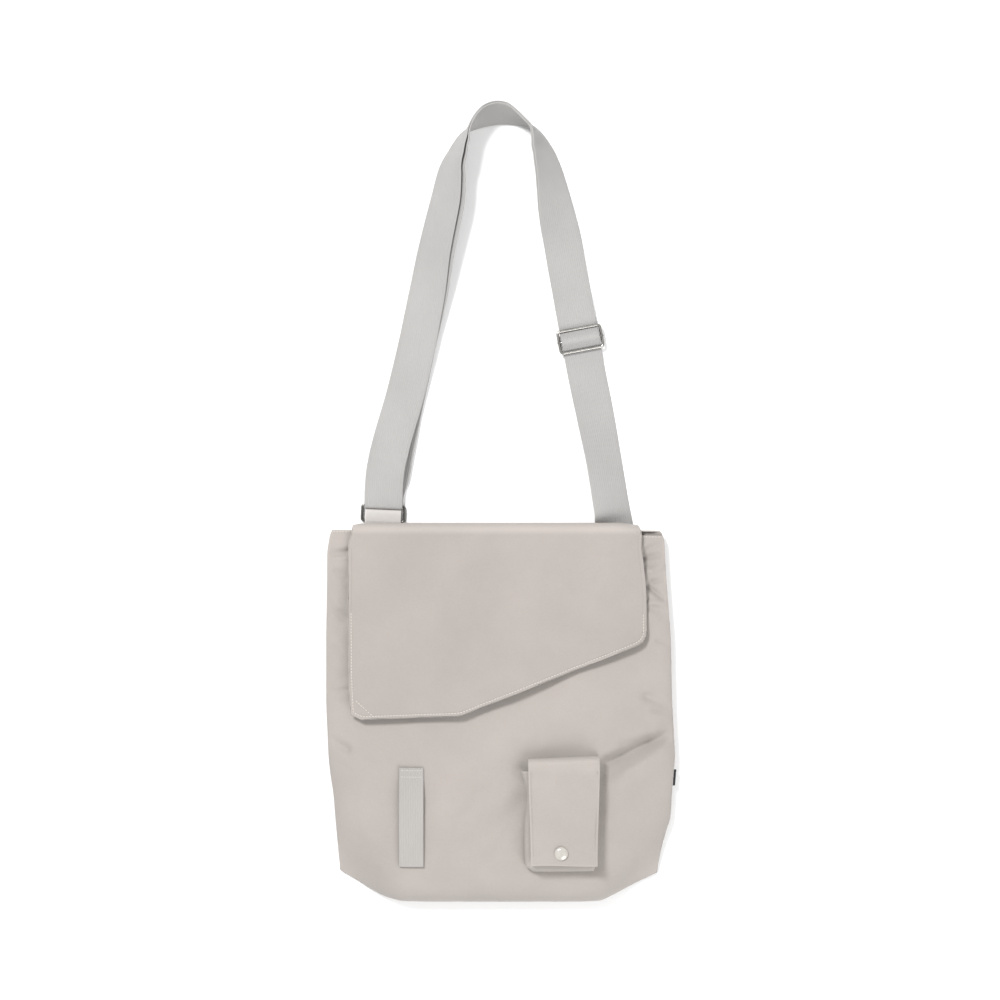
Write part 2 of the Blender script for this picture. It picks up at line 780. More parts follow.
def on_cloth(tree):
    """Metres across and along the cloth."""
    place = node(tree, "ShaderNodeUVMap")
    place.uv_map = "cloth"
    return node(tree, "ShaderNodeSeparateXYZ", Vector=place.outputs["UV"]).outputs


def wave(tree, length, pitch):
    return maths(tree, "SINE", maths(tree, "MULTIPLY", length, 2 * math.pi / pitch))


def plain_weave(tree, pitch):
    """Height of a plain weave of threads pitch apart."""
    across, along, _ = on_cloth(tree)
    return maths(tree, "MULTIPLY", wave(tree, across, 2 * pitch), wave(tree, along, 2 * pitch))


SAGE_TINT = (0.988, 1.003, 1.004, 1)
ROSY_TINT = (1.012, 0.997, 0.991, 1)
WORN_WIDTH = 2.2


def canvas_material(name, colour, pitch=0.0007, worn=0.1):
    """Plain woven cotton canvas: threads, slubs, cloudy dye, soft creases and lighter worn edges."""
    made, tree, shader = new_material(name, 0.93, sheen=0.12)
    place = object_place(tree)
    weave = plain_weave(tree, pitch)
    cloud = noise(tree, place, 14.0, 4.0, 0.55)
    dye = ramp_colour(tree, cloud, [(0.3, shade(colour, 0.955)), (0.7, shade(colour, 1.045))])
    hue = colour_mix(tree, "MIX", noise(tree, place, 31.0, 2.0), SAGE_TINT, ROSY_TINT)
    dyed = colour_mix(tree, "MULTIPLY", 1, dye, hue)
    slub = noise(tree, place, 900.0, 2.0)
    threads = maths(tree, "ADD", 0.94, total(tree, (slub, 0.12), (weave, 0.03)))
    edge = node(tree, "ShaderNodeAttribute")
    edge.attribute_name = "edge"
    near = node(tree, "ShaderNodeMapRange", Value=edge.outputs["Fac"], From_Min=WORN_WIDTH, From_Max=0.0)
    near.interpolation_type = "SMOOTHSTEP"
    bright = maths(tree, "ADD", threads, maths(tree, "MULTIPLY", near.outputs["Result"], worn))
    put(tree, shader.inputs["Base Color"], scaled(tree, dyed, bright))
    soft = noise(tree, place, 45.0, 4.0, 0.6)
    relief = total(tree, (soft, 6.0), (weave, 0.45), (slub, 0.5))
    add_bump(tree, shader, relief, 0.55, 0.00022)
    return made


def webbing_material(name, colour, ribs, twill):
    """Cotton webbing: lengthwise ribs crossed by a fine twill."""
    made, tree, shader = new_material(name, 0.86, sheen=0.1)
    place = object_place(tree)
    across, along, _ = on_cloth(tree)
    rib = wave(tree, across, ribs)
    cross = wave(tree, maths(tree, "ADD", along, maths(tree, "MULTIPLY", rib, twill * 0.3)), twill)
    cloud = noise(tree, place, 18.0, 3.0)
    dye = ramp_colour(tree, cloud, [(0.3, shade(colour, 0.96)), (0.7, shade(colour, 1.04))])
    relief = total(tree, (rib, 0.7), (cross, 0.4))
    bright = maths(tree, "ADD", 0.985, maths(tree, "MULTIPLY", relief, 0.03))
    put(tree, shader.inputs["Base Color"], scaled(tree, dye, bright))
    relief = maths(tree, "ADD", relief, noise(tree, place, 700.0, 2.0))
    add_bump(tree, shader, relief, 0.6, 0.00025)
    return made


def metal_material(name, colour):
    """Polished nickel plate with faint wear and fingerprints."""
    made, tree, shader = new_material(name, 0.24, metallic=1.0)
    place = object_place(tree)
    haze = noise(tree, place, 160.0, 4.0)
    stops = [(0.3, shade(colour, 0.86)), (0.7, colour)]
    put(tree, shader.inputs["Base Color"], ramp_colour(tree, haze, stops))
    polish = maths(tree, "ADD", 0.16, maths(tree, "MULTIPLY", haze, 0.2))
    put(tree, shader.inputs["Roughness"], polish)
    add_bump(tree, shader, noise(tree, place, 2400.0, 2.0), 0.12, 0.00005)
    return made


def pearl_material(name, colour):
    """Glossy pearl cap with a cloudy depth."""
    made, tree, shader = new_material(name, 0.22, coat=0.6)
    place = object_place(tree)
    cloud = noise(tree, place, 420.0, 4.0)
    stops = [(0.35, shade(colour, 0.9)), (0.65, colour)]
    put(tree, shader.inputs["Base Color"], ramp_colour(tree, cloud, stops))
    add_bump(tree, shader, noise(tree, place, 260.0), 0.15, 0.0001)
    return made


def thread_material(name, colour):
    """Sewing thread, darker in its twist."""
    made, tree, shader = new_material(name, 0.7, sheen=0.2)
    twist = noise(tree, object_place(tree), 2600.0, 2.0)
    stops = [(0.3, shade(colour, 0.85)), (0.7, colour)]
    put(tree, shader.inputs["Base Color"], ramp_colour(tree, twist, stops))
    add_bump(tree, shader, twist, 0.4, 0.0001)
    return made


CANVAS_COLOUR = (0.288, 0.2625, 0.2445)
WEBBING_COLOUR = (0.31, 0.303, 0.296)
TAB_COLOUR = (0.46, 0.438, 0.42)
LOOP_COLOUR = (0.315, 0.301, 0.288)
NICKEL_COLOUR = (0.36, 0.35, 0.33)
RING_COLOUR = (0.16, 0.155, 0.145)
PEARL_COLOUR = (0.405, 0.382, 0.35)
THREAD_COLOUR = (0.5, 0.468, 0.435)
BLACK_COLOUR = (0.012, 0.012, 0.014)

canvas = canvas_material("canvas", shade(CANVAS_COLOUR, 1.04))
flap_canvas = canvas_material("flap_canvas", CANVAS_COLOUR, worn=0.22)
tab_canvas = canvas_material("tab_canvas", TAB_COLOUR)
webbing = webbing_material("webbing", WEBBING_COLOUR, 0.0021, 0.0011)
loop_webbing = webbing_material("loop_webbing", LOOP_COLOUR, 0.0024, 0.0009)
nickel = metal_material("nickel", NICKEL_COLOUR)
ring_nickel = metal_material("ring_nickel", RING_COLOUR)
pearl = pearl_material("pearl", PEARL_COLOUR)
thread = thread_material("thread", THREAD_COLOUR)
plain_thread = thread_material("plain_thread", shade(CANVAS_COLOUR, 1.12))
black_ribbon = webbing_material("black_ribbon", BLACK_COLOUR, 0.0006, 0.0005)


def edge_steps(count):
    return np.sin(np.linspace(-1, 1, count + 1) * math.pi / 2)


# Body
FINE_FOLD_GAIN = 1.5


def front_surface(x, y):
    """Middle of the front cloth with its fine folds."""
    across = across_at(x, y)
    down = np.clip(y / bottom_y(across), 0, 1)
    calm = (1 - np.abs(across) ** 14) * (1 - down**14) * ramp(0, 0.06, down)
    upper_sides = ramp(0.8, 0.93, np.abs(across)) * ramp(0.75, 0.5, down)
    crumple = ripple(x, y, seed=4, size=75, depth=0.7) + ripple(x, y, seed=5, size=30, depth=0.16)
    crumple = crumple + upper_sides * ripple(x, y, seed=6, size=22, depth=0.4)
    return front_mid(x, y) + calm * (FINE_FOLD_GAIN * fold_height(FINE_FOLDS, x, y) + crumple)


def front_grid():
    down = crowded(split=0.93, even=230, close=31, power=2)
    across, down = np.meshgrid(edge_steps(180), down, indexing="ij")
    top = hem_y(across)
    y = top + (bottom_y(across) - top) * down
    x = mix(seam_x(-1, y), seam_x(1, y), (1 + across) / 2)
    return stacked(x, y, front_surface(x, y))


front = cloth("front_cloth", front_grid(), FABRIC, canvas)
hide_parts("front_panel")


BACK_ROWS = np.concatenate((np.linspace(0.004, 0.015, 9), np.linspace(0.02, 1, 120)))


def back_grid():
    across, down = np.meshgrid(edge_steps(110), BACK_ROWS, indexing="ij")
    y = bottom_y(across) * down
    x = mix(seam_x(-1, y), seam_x(1, y), (1 + across) / 2)
    lip = MOUTH_LIP * ramp(-2.6, -0.6, y) * ramp(0.78, 0.84, across) * ramp(1.0, 0.95, across)
    soft = np.maximum(0, ripple(x, y, seed=9, size=90, depth=0.25)) * (1 - down**8)
    return stacked(x, y, back_mid(across, y) + soft + lip)


back = cloth("back_cloth", back_grid(), FABRIC, canvas)
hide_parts("back_panel")


# Flap
FLAP_ABOVE = 8
HEM_WIDTH = 3.2
HEM_RISE = 0.5
GROOVE = 0.35


def flap_outline():
    """The flap's sides and lower edge, from the left top round to the right top."""
    low = -FLAP_DROP * FLAP_EDGE["drop"]
    y = np.concatenate((np.linspace(FLAP_ABOVE, low[0], 20), low[1:-1], np.linspace(low[-1], FLAP_ABOVE, 14)))
    across = np.concatenate((np.zeros(20), FLAP_EDGE["across"][1:-1], np.ones(14)))
    return stacked(flap_x(across, y), y)


FLAP_LINE = flap_outline()
MITRE_LINE = np.array(((8 - FLAP_LEFT, -0.897 * FLAP_DROP), (24.7 - FLAP_LEFT, -0.976 * FLAP_DROP)))


def flap_surface(x, y):
    """Middle of the flap with its soft waves, its hem, the sewn groove beside it and the mitre's ridge."""
    waves = 0.8 + ripple(x, y, seed=21, size=95, depth=1.3) + ripple(x, y, seed=22, size=38, depth=0.2)
    away = away_from(FLAP_LINE, x, y)
    hem = HEM_RISE * ramp(HEM_WIDTH + 0.8, HEM_WIDTH - 0.8, away) - GROOVE * bell((away - HEM_WIDTH) / 0.6)
    mitre = GROOVE * bell(away_from(MITRE_LINE, x, y) / 0.7)
    return flap_mid(x, y) + waves * ramp(0, 0.15, -y / FLAP_DROP) + hem * ramp(0, 6, -y) + mitre


def flap_grid():
    border = np.array((0, 0.7, 1.4, 2.1, 2.8, 3.4, 4.0, 4.8, 6.2)) / FLAP_WIDTH
    inner = np.linspace(0.03, 0.97, 110)
    across = np.concatenate((border, inner, 1 - border[::-1], FLAP_EDGE["across"]))
    across = np.unique(across.round(6))
    shoulder = FLAP_DROP * read(FLAP_SHOULDERS, "across", "drop", across)
    fold_top = FLAP_REACH - FLAP_THICK / 2 - shoulder
    low = float(root_z(0))
    high = flap_surface(flap_x(across, 0), 0 * across)
    radius = (high - low) / 2
    centre = fold_top - radius
    columns = []
    for share in np.linspace(1, 0.02, 26):
        y = mix(centre, -ROOT_LENGTH, share)
        columns.append(stacked(flap_x(across, 0 * y), y, root_z(y)))
    for angle in np.linspace(-math.pi / 2, math.pi / 2, 25):
        y = centre + radius * math.cos(angle)
        columns.append(stacked(flap_x(across, y), y, low + radius + radius * math.sin(angle)))
    tip = -FLAP_DROP * np.interp(across, FLAP_EDGE["across"], FLAP_EDGE["drop"])
    for share in crowded(split=0.955, even=90, close=13, power=1.3)[1:]:
        y = mix(centre, tip, share)
        x = flap_x(across, y)
        settle = float(ramp(0, 0.12, share))
        columns.append(stacked(x, y, mix(high, flap_surface(x, y), settle)))
    return np.stack(columns, axis=1)


FLAP_GRID = flap_grid()
flap_worn = np.abs(FLAP_GRID[:, :, 1] - 1) * 0.32
flap = cloth("flap_cloth", FLAP_GRID, FLAP_THICK, flap_canvas, flap_worn)
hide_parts("flap")


# Strap
def strap_curve():
    """The strap's line through its table, as the same smooth curve as the frame's, at even lengths."""
    x = STRAP_LINE["x"] * BODY_WIDTH / 2
    y = STRAP_LINE["y"] * STRAP_RISE
    points = stacked(x, y)
    ends = np.concatenate(([2 * points[0] - points[1]], points, [2 * points[-1] - points[-2]]))
    line = []
    fine = np.linspace(0, 1, 60, endpoint=False)
    for k in range(len(points) - 1):
        a, b, c, d = ends[k : k + 4]
        gaps = [math.sqrt(np.linalg.norm(q - p)) for p, q in ((a, b), (b, c), (c, d))]
        tangent_b = (b - a) / gaps[0] - (c - a) / (gaps[0] + gaps[1]) + (c - b) / gaps[1]
        tangent_c = (c - b) / gaps[1] - (d - b) / (gaps[1] + gaps[2]) + (d - c) / gaps[2]
        tangent_b, tangent_c = tangent_b * gaps[1], tangent_c * gaps[1]
        for t in fine:
            ease = (2 * t**3 - 3 * t**2 + 1, t**3 - 2 * t**2 + t, 3 * t**2 - 2 * t**3, t**3 - t**2)
            line.append(ease[0] * b + ease[1] * tangent_b + ease[2] * c + ease[3] * tangent_c)
    line = np.array(line + [points[-1]])
    return line, np.arange(len(line)) / len(fine), lengths_along(line)


STRAP_PATH, STRAP_PLACES, STRAP_REACH = strap_curve()
STRAP_LENGTH = STRAP_REACH[-1]
STRAP_ROWS = dict(STRAP_LINE, index=np.arange(len(STRAP_LINE["x"]), dtype=float))


def strap_frame(length):
    """At a length: edge on the surface, directions along, across and outward, and the table's columns."""
    inside = float(np.clip(length, 0, STRAP_LENGTH))
    near = (max(inside - 1.0, 0), inside, min(inside + 1.0, STRAP_LENGTH))
    before, here, after = at_lengths(near, STRAP_REACH, STRAP_PATH)
    forward = np.append(unit(after - before), 0.0)
    edge = np.append(here, 0.0) + forward * (length - inside)
    place = np.interp(inside, STRAP_REACH, STRAP_PLACES)
    columns = ("roll", "spread", "slide")
    roll, spread, slide = (float(read(STRAP_ROWS, "index", column, place)) for column in columns)
    roll = math.radians(roll)
    out = np.array((forward[1], -forward[0], 0.0))
    across = -math.cos(roll) * out + np.array((0, 0, math.sin(roll)))
    normal = math.sin(roll) * out + np.array((0, 0, math.cos(roll)))
    return edge, forward, across, normal, roll, spread, slide


LAYER = WEB_THICK + GAP
SLIDER_UP = SLIDER_PLACE * STRAP_RISE
SLIDER_AT = next(s for s in np.linspace(0, STRAP_LENGTH, 2001) if strap_frame(s)[0][1] >= SLIDER_UP)
SLIDER_HOLD = SLIDER_WIRE / 2 + GAP + WEB_THICK / 2
SLIDER_Z = SLIDER_HOLD + 2 * LAYER + WEB_THICK / 2
RING_HOLD = RING_WIRE / 2 + RING_SLACK + WEB_THICK / 2
STEP = 3.0
SLIDER_RISE = 18.0
RING_RISE = 26.0
TAIL_ROOM = 12.0
EASE = 10.0
BAR_FOOT = 3.0


def thread_path(stops):
    """A thread pulled tight round circles: stops are (along, height, radius, turn), with turn 1 where the
    circle lies left of the thread and -1 where it lies right."""
    headings = []
    for (a0, h0, r0, t0), (a1, h1, r1, t1) in zip(stops, stops[1:]):
        reach = math.hypot(a1 - a0, h1 - h0)
        headings.append(math.atan2(h1 - h0, a1 - a0) - math.asin((t1 * r1 - t0 * r0) / reach))
    path = []
    for k, (along, height, radius, turn) in enumerate(stops):
        arriving = headings[max(k - 1, 0)]
        leaving = headings[min(k, len(headings) - 1)]
        turned = (turn * (leaving - arriving)) % (2 * math.pi)
        sweep = 0 if turned > 1.8 * math.pi else turn * turned
        for share in np.linspace(0, 1, max(2, math.ceil(abs(sweep) / 0.2) + 1)):
            heading = arriving + sweep * share
            off = (turn * radius * math.sin(heading), -turn * radius * math.cos(heading))
            path.append((along + off[0], height + off[1], 0.0))
            if radius == 0:
                break
    return path


def run(start, end, height, under=0.0):
    """Even points along the strap at heights given by a function, under being 1 on the lower layer."""
    count = max(1, round(abs(end - start) / STEP))
    return [(s, float(height(s)), under) for s in np.linspace(start, end, count + 1)]


def straight(a, b):
    """Even points between two ends of a run, so that long straight stretches can bend."""
    count = max(1, round(math.hypot(b[0] - a[0], b[1] - a[1]) / STEP))
    return [tuple(mix(np.array(a), np.array(b), t)) for t in np.linspace(0, 1, count + 1)[:-1]]


def all_straight(stops):
    path = []
    for a, b in zip(stops, stops[1:]):
        path += straight(a, b)
    return path + [stops[-1]]


def strap_route():
    """The ribbon's whole way: (length, height, under) from its sewn end, through the slider, round the ring
    and back as the lower layer to the slider's middle bar."""
    floor = WEB_THICK / 2
    bar = SLIDER_LENGTH / 2
    clear_of_tail = SLIDER_AT + bar + STRAP_TAIL + TAIL_ROOM
    near_ring = STRAP_LENGTH - RING_RISE

    def single(s):
        return floor

    def upper(s):
        return floor + LAYER + WEB_WIDTH * strap_frame(s)[5]

    def lower(s):
        return floor + LAYER * ramp(clear_of_tail + 2 * EASE, clear_of_tail, s)

    through = thread_path([
        (SLIDER_AT - bar - SLIDER_RISE, floor, 0, 0),
        (SLIDER_AT - bar, SLIDER_Z, SLIDER_HOLD, 1),
        (SLIDER_AT, SLIDER_Z, SLIDER_HOLD + LAYER, -1),
        (SLIDER_AT + bar, SLIDER_Z, SLIDER_HOLD, 1),
        (SLIDER_AT + bar + STRAP_TAIL, floor + 2 * LAYER, 0, 0),
    ])
    around = thread_path([
        (near_ring, upper(near_ring), 0, 0),
        (STRAP_LENGTH, floor + RING_HOLD, RING_HOLD, -1),
        (near_ring, floor, 0, 0),
    ])
    around[-1] = (around[-1][0], around[-1][1], 1.0)
    back = thread_path([
        (clear_of_tail - EASE, floor + LAYER, 0, 0),
        (SLIDER_AT + bar, SLIDER_Z, SLIDER_HOLD + LAYER, -1),
        (SLIDER_AT, SLIDER_Z, SLIDER_HOLD, 1),
        (SLIDER_AT + bar - BAR_FOOT, floor + BAR_FOOT, BAR_FOOT, 1),
        (SLIDER_AT + bar + STRAP_TAIL, floor, 0, 0),
    ])
    out = run(0, SLIDER_AT - bar - SLIDER_RISE - EASE, single) + through
    out += run(clear_of_tail, near_ring - EASE, upper)
    return all_straight(out + around + run(near_ring - EASE, clear_of_tail, lower, 1.0) + back)


STRAP_CROWN = 0.1


def strap_grid():
    route = np.array(strap_route())
    soft = route.copy()
    soft[1:-1] = route[1:-1] * 0.5 + (route[:-2] + route[2:]) * 0.25
    shares = np.linspace(0, 1, 13)
    grid = np.zeros((len(shares), len(soft), 3))
    turning = int(np.argmax(soft[:, 0]))
    for j, (length, height, under) in enumerate(soft):
        edge, _, across, normal, roll, _, slide = strap_frame(length)
        start = edge + normal * height
        start = start + (0, 0, max(0, -math.cos(roll)) * (LAYER + WEB_THICK))
        sideways = under * WEB_WIDTH * slide
        bend = np.zeros(len(shares))
        if j < turning:
            for place, lean, rise, width in STRAP_BENDS.values():
                bend += rise * bell((length - place * STRAP_LENGTH - lean * (shares - 0.5)) / width)
        crown = STRAP_CROWN * (1 - (2 * shares - 1) ** 2)
        lift = np.maximum(bend, -0.2 * GAP) + crown
        grid[:, j] = start + across * (sideways + WEB_WIDTH * shares)[:, None] + normal * lift[:, None]
    return grid


strap = cloth("strap_webbing", strap_grid(), WEB_THICK, webbing)
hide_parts("shoulder_strap")


# Hardware
def rounded_loop(width, length, corner, slope=0.0):
    """A rectangle of points with round corners that rises by slope along its length."""
    points = []
    for quarter, (x, y) in enumerate(((1, 1), (-1, 1), (-1, -1), (1, -1))):
        for angle in (quarter + np.linspace(0, 1, 12)) * math.pi / 2:
            px = x * (width / 2 - corner) + corner * math.cos(angle)
            py = y * (length / 2 - corner) + corner * math.sin(angle)
            points.append((px, py, slope * py))
    return np.array(points)


def turned(points, angle, place):
    """Points turned about the z axis and moved."""
    c, s = math.cos(angle), math.sin(angle)
    points = np.asarray(points, float)
    x = points[:, 0] * c - points[:, 1] * s
    y = points[:, 0] * s + points[:, 1] * c
    return np.stack((x, y, points[:, 2]), axis=-1) + np.asarray(place)


edge, _, across, *_ = strap_frame(SLIDER_AT)
slider_place = np.append((edge + across * WEB_WIDTH / 2)[:2], SLIDER_Z)
slider_turn = math.atan2(-across[1], -across[0])
loop = rounded_loop(SLIDER_WIDTH, SLIDER_LENGTH, SLIDER_CORNER)
slider = tube("slider_frame", turned(loop, slider_turn, slider_place), SLIDER_WIRE / 2, nickel)
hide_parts("slider")
bar_half = (SLIDER_WIDTH + SLIDER_WIRE / 2 + SLIDER_BAR_END) / 2
bar_line = turned([(x, 0, 0) for x in np.linspace(-bar_half, bar_half, 9)], slider_turn, slider_place)
slider_bar = tube("slider_bar", bar_line, SLIDER_WIRE / 2 - 0.02, nickel, closed=False)

ring_edge, ring_forward, ring_across, *_ = strap_frame(STRAP_LENGTH)
ring_turn = math.atan2(ring_across[1], ring_across[0])
ring_middle = ring_edge + ring_across * WEB_WIDTH / 2
ring_place = ring_middle + ring_forward * RING_LENGTH / 2
ring_place[2] = FABRIC + GAP + RING_WIRE / 2 + RING_SLOPE * RING_LENGTH / 2
loop = rounded_loop(RING_WIDTH, RING_LENGTH, RING_CORNER, RING_SLOPE)
ring = tube("ring_wire", turned(loop, ring_turn, ring_place), RING_WIRE / 2, ring_nickel)
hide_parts("d_ring")


def tab_grid():
    hold = RING_WIRE / 2 + GAP + FABRIC / 2
    bar_z = FABRIC / 2 + hold
    fold = RING_HOLD + WEB_THICK / 2 + GAP + FABRIC / 2 + hold
    end = ring_middle[1] + TAB_ROOT
    stops = thread_path([
        (end, FABRIC / 2, 0, 0),
        (fold, bar_z, hold, -1),
        (RING_LENGTH, bar_z, hold, -1),
        (ring_middle[1] + 2, 1.5 * FABRIC + GAP, 0, 0),
        (end, 1.5 * FABRIC + GAP, 0, 0),
    ])
    path = all_straight(stops)
    grid = []
    for across_mm in np.linspace(-TAB_WIDTH / 2, TAB_WIDTH / 2, 15):
        column = [ring_middle + ring_forward * s + ring_across * across_mm for s, _, _ in path]
        grid.append([(p[0], p[1], height) for p, (_, height, _) in zip(column, path)])
    return grid


tab = cloth("tab_cloth", tab_grid(), FABRIC, tab_canvas)
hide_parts("ring_tab")


# Small pocket
def pouch_front(x, y):
    return front_mid(x, y) + POUCH_DEPTH


def boxy(v):
    """A sine or cosine bent towards a box."""
    return np.sign(v) * np.abs(v) ** (2 / POUCH_BOXING)


def pouch_grid():
    down = crowded(split=0.9, even=50, close=21, power=1.8)
    angle, down = np.meshgrid(np.linspace(0, math.pi, 81), down, indexing="ij")
    y = -POUCH_TOP - POUCH_HEIGHT * down
    left = POUCH_LEFT + POUCH_WIDTH * read(POUCH_PINCH, "down", "left", down)
    right = POUCH_LEFT + POUCH_WIDTH * (1 - read(POUCH_PINCH, "down", "right", down))
    x = mix(left, right, (1 - boxy(np.cos(angle))) / 2)
    up = boxy(np.sin(angle)) * np.sqrt(1 - down**24)
    foot = front_mid(x, y) + FABRIC + 0.1
    return stacked(x, y, foot + (pouch_front(x, y) - foot) * up)


pouch = cloth("pouch_cloth", pouch_grid(), FABRIC, canvas)
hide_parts("pocket_pouch")

POCKET_SLOPE = 4.0
SNAP_ROOM = 2 * SNAP_PLATE + 3 * GAP


def pocket_flap_mid(x, y):
    return pouch_front(x, np.minimum(y, -POUCH_TOP)) + FABRIC / 2 + SNAP_ROOM + POCKET_FLAP_THICK / 2


def pocket_flap_grid():
    across = np.linspace(0, 1, 61)
    top = -POCKET_FLAP_TOP - POCKET_FLAP_SKEW * (1 - across)
    x = pocket_flap_x(across, top)
    low = front_mid(x, top) + FABRIC / 2 + 2 * GAP + POCKET_FLAP_THICK / 2
    high = pocket_flap_mid(x, top) - POCKET_SLOPE
    turn = np.minimum((high - low) / 2, 5)
    centre = top - POCKET_FLAP_THICK / 2 - turn
    columns = [stacked(x, centre - back, low) for back in (4, 3, 2, 1)]
    for level, first in ((low + turn, -math.pi / 2), (high - turn, 0)):
        for angle in np.linspace(first, first + math.pi / 2, 8):
            y = centre + turn * math.cos(angle)
            columns.append(stacked(x, y, level + turn * math.sin(angle)))
    tip = -POCKET_FLAP_TOP - POCKET_FLAP_LENGTH + 0.5 * np.sin(5 * across + 0.6)
    for share in np.linspace(0, 1, 71)[1:]:
        y = mix(centre, tip, share)
        px = pocket_flap_x(across, y)
        settle = float(ramp(0, 0.2, share))
        slope = POCKET_SLOPE * max(0.0, 1 - share * POCKET_FLAP_LENGTH / 15) ** 2
        curl = float(ramp(0.86, 1, share)) * (1.6 * ramp(0.8, 1, across) + 0.5 * (1 + np.sin(9 * across)))
        height = mix(high + POCKET_SLOPE, pocket_flap_mid(px, y), settle) - slope + curl
        height = height + settle * ripple(px, y, seed=31, size=60, depth=0.35)
        columns.append(stacked(px, y, height))
    return np.stack(columns, axis=1)


POCKET_FLAP_GRID = pocket_flap_grid()
pocket_worn = np.abs(POCKET_FLAP_GRID[:, :, 1] + POCKET_FLAP_TOP + 8) * 0.2
pocket_flap = cloth("pocket_flap_cloth", POCKET_FLAP_GRID, POCKET_FLAP_THICK, canvas, pocket_worn)
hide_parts("pocket_flap")

snap_place = (SNAP_X, SNAP_Y, float(pocket_flap_mid(SNAP_X, SNAP_Y)))
snap_lean = math.atan2(float(pouch_front(SNAP_X, SNAP_Y + 5) - pouch_front(SNAP_X, SNAP_Y - 5)), 10)


def snap_cap_profile():
    half = POCKET_FLAP_THICK / 2 + GAP
    rim = [(SNAP_RADIUS - 0.3, half), (SNAP_RADIUS, half + 0.2), (SNAP_RADIUS, half + 0.5)]
    dome = [
        (SNAP_RADIUS * math.cos(a), half + 0.6 + (SNAP_DOME - 0.6) * math.sin(a))
        for a in np.linspace(0.08, math.pi / 2, 16)
    ]
    plate = [(0, -half - SNAP_PLATE), (SNAP_WASHER, -half - SNAP_PLATE), (SNAP_WASHER, -half)]
    return plate + [(SNAP_POST, -half), (SNAP_POST, half)] + rim + dome


snap = lathe("snap_dome", snap_cap_profile(), snap_place, snap_lean, pearl)
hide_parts("snap_cap")
stud_place = (*snap_place[:2], snap_place[2] - POCKET_FLAP_THICK / 2 - SNAP_ROOM + GAP)
stud_rim = [(SNAP_WASHER, 0), (SNAP_WASHER, SNAP_PLATE - 0.2), (SNAP_WASHER - 0.3, SNAP_PLATE)]
stud_profile = [(0, 0)] + stud_rim + [(0, SNAP_PLATE)]
stud = lathe("snap_disc", stud_profile, stud_place, snap_lean, nickel)
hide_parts("snap_stud")


# Webbing loop and side tab
LOOP_LAYER = LOOP_THICK / 2 + 2 * GAP
LOOP_TURN = (LOOP_THICK + GAP) / 2


def loop_height(down):
    bow = LOOP_BOW * np.sin(math.pi * down / LOOP_LENGTH)
    return LOOP_LAYER + 2 * LOOP_TURN * ramp(8, 30, down) + bow


def half_turn(along, height, radius, count):
    """Points of a fold that turns from above to below."""
    angles = np.linspace(math.pi / 2, -math.pi / 2, count)
    return [(along + radius * math.cos(a), height + radius * math.sin(a)) for a in angles]


def loop_grid():
    path = [(s, float(loop_height(s))) for s in np.linspace(0, LOOP_LENGTH - 8, 60)]
    path += half_turn(LOOP_LENGTH - LOOP_TURN - LOOP_THICK / 2, LOOP_LAYER + LOOP_TURN, LOOP_TURN, 12)
    path += [(s, LOOP_LAYER) for s in np.linspace(LOOP_LENGTH - 4, LOOP_LENGTH - LOOP_RETURN, 5)]
    down, height = np.array(path).T
    x = np.linspace(-LOOP_LEFT, LOOP_WIDTH - LOOP_LEFT, 17)
    x, down = np.meshgrid(x, down, indexing="ij")
    y = -LOOP_TOP - down
    return np.stack((x, y, front_mid(x, y) + FABRIC / 2 + height[None, :]), axis=-1)


strip = cloth("loop_webbing_strip", loop_grid(), LOOP_THICK, loop_webbing)
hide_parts("webbing_loop")


def side_tab_grid():
    """A small ribbon folded in two, its fold away from the seam."""
    turn = SIDE_TAB_THICK / 4
    path = [(0.0, turn), (SIDE_TAB_REACH * 0.4, turn)]
    path += half_turn(SIDE_TAB_REACH - 2 * turn, 0, turn, 9)
    path += [(SIDE_TAB_REACH * 0.4, -turn), (0.0, -turn)]
    middle_z = float(seam_z(-SIDE_TAB_TOP - SIDE_TAB_LENGTH / 2))
    grid = []
    for y in -SIDE_TAB_TOP - SIDE_TAB_LENGTH * np.linspace(0, 1, 9):
        start = float(seam_x(1, y)) + FABRIC / 2 + GAP
        grid.append([(start + out, y, middle_z + up) for out, up in path])
    return grid


side_tab = cloth("side_ribbon", side_tab_grid(), SIDE_TAB_THICK / 2 - 0.1, black_ribbon)
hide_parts("side_tab")


# Stitches
def over(points, height, lift):
    """A line of (x, y) points laid over a surface, lift above it."""
    points = np.asarray(points, float)
    reach = lengths_along(points)
    places = np.linspace(0, reach[-1], max(2, int(reach[-1] / 2)))
    x, y = at_lengths(places, reach, points).T
    return stacked(x, y, height(x, y) + lift)


def moved_in(line, inset):
    """A line moved to its left by inset, its corners kept."""
    along = unit(np.diff(line, axis=0))
    side = np.stack((-along[:, 1], along[:, 0]), axis=-1)
    before, after = np.vstack((side[:1], side)), np.vstack((side, side[-1:]))
    return line + inset * (before + after) / (1 + dots(before, after))


def flap_top(x, y):
    return flap_surface(x, y) + FLAP_THICK / 2


def front_top(x, y):
    return front_surface(x, y) + FABRIC / 2


def pocket_flap_top(x, y):
    return pocket_flap_mid(x, y) + POCKET_FLAP_THICK / 2


def loop_top(x, y):
    return front_mid(x, y) + FABRIC / 2 + loop_height(-LOOP_TOP - y) + LOOP_THICK / 2


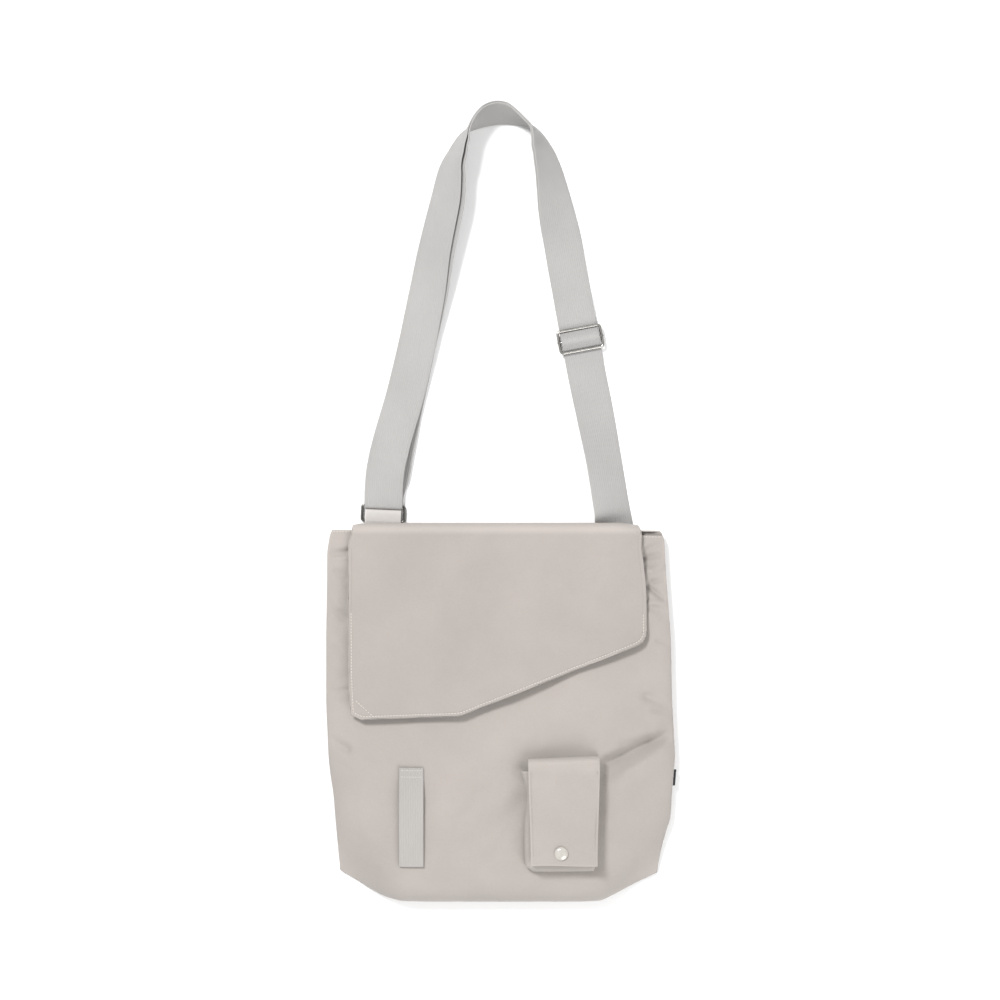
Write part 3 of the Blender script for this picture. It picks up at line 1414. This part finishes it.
STITCH_LINE = moved_in(FLAP_LINE[1:-1], HEM_WIDTH)
BOLD_BELOW = 0.42 * FLAP_DROP
BOLD = np.nonzero(STITCH_LINE[:, 1] < -BOLD_BELOW)[0]
flap_stitch = stitches(
    "flap_stitches",
    [over(line, flap_top, 0.1) for line in (STITCH_LINE[BOLD], MITRE_LINE)],
    thread,
    radius=0.55,
    length=2.5,
)
side_stitch = stitches(
    "flap_side_stitches",
    [over(line, flap_top, 0.0) for line in (STITCH_LINE[: BOLD[0]], STITCH_LINE[BOLD[-1] + 1 :])],
    plain_thread,
    radius=0.3,
)

hem_across = np.linspace(-0.985, 0.985, 60)
hem_x = mix(seam_x(-1, -HEM_DROP), seam_x(1, -HEM_DROP), (1 + hem_across) / 2)
hem_line = stacked(hem_x, hem_y(hem_across) - 1.5)
hem_stitch = stitches("hem_stitches", [over(hem_line, front_top, 0.1)], thread, radius=0.5)


def pocket_border(inset):
    """The pocket flap's sides and tip, moved in by inset."""
    down = np.linspace(-POCKET_FLAP_TOP - 14, -POCKET_FLAP_TOP - POCKET_FLAP_LENGTH + inset, 8)
    left = stacked(pocket_flap_x(0, down) + inset, down)
    right = stacked(pocket_flap_x(1, down) - inset, down)
    return np.concatenate((left, right[::-1]))


pocket_line = over(pocket_border(2.6), pocket_flap_top, 0.0)
pocket_stitch = stitches("pocket_flap_stitches", [pocket_line], plain_thread, radius=0.16)

loop_ends = (1.5 - LOOP_LEFT, LOOP_WIDTH - LOOP_LEFT - 1.5)
loop_rows = [over([(x, -LOOP_TOP - down) for x in loop_ends], loop_top, 0.05) for down in (2.5, 9.0)]
loop_stitch = stitches("loop_stitches", loop_rows, thread, pitch=2.4, length=1.9)

# Floor, light and camera
FLOOR_REACH = 6.0
FLOOR_COLOUR = (0.84, 0.84, 0.84, 1)
WORLD_STRENGTH = 0.72
floor_mesh = bpy.data.meshes.new("floor")
floor_corners = [(x * FLOOR_REACH, y * FLOOR_REACH, floor_z) for x, y in ((-1, -1), (1, -1), (1, 1), (-1, 1))]
floor_mesh.from_pydata(floor_corners, [], [(0, 1, 2, 3)])
floor = bpy.data.objects.new("floor", floor_mesh)
bpy.context.scene.collection.objects.link(floor)
floor_paint, _, floor_shader = new_material("floor_white", 0.9)
floor_shader.inputs["Base Color"].default_value = FLOOR_COLOUR
floor_shader.inputs["Specular IOR Level"].default_value = 0.1
floor_mesh.materials.append(floor_paint)


def area_light(name, place, aim, size, watts):
    data = bpy.data.lights.new(name, "AREA")
    data.shape = "DISK"
    data.size = size
    data.energy = watts
    made = bpy.data.objects.new(name, data)
    made.location = place
    made.rotation_euler = (Vector(aim) - Vector(place)).to_track_quat("-Z", "Y").to_euler()
    bpy.context.scene.collection.objects.link(made)


BODY_MIDDLE = (0.0, -0.15, 0.0)
area_light("key", (-1.15, 1.5, 2.65), BODY_MIDDLE, size=0.7, watts=112)
area_light("fill", (1.2, -2.2, 1.9), BODY_MIDDLE, size=2.4, watts=72)
world = bpy.data.worlds.new("studio")
world.use_nodes = True
background = world.node_tree.nodes["Background"]
background.inputs["Color"].default_value = (1.0, 1.0, 1.0, 1)
background.inputs["Strength"].default_value = WORLD_STRENGTH
bpy.context.scene.world = world

camera_data = bpy.data.cameras.new("camera")
camera_data.sensor_width = SENSOR_MM
camera_data.lens = SENSOR_MM * CAMERA_HEIGHT / PICTURE_WIDTH
camera = bpy.data.objects.new("camera", camera_data)
camera.location = (*(np.array(PICTURE_MIDDLE) * MM + ORIGIN[:2]), CAMERA_HEIGHT)
bpy.context.scene.collection.objects.link(camera)
bpy.context.scene.camera = camera
bpy.context.scene.view_settings.view_transform = "Standard"
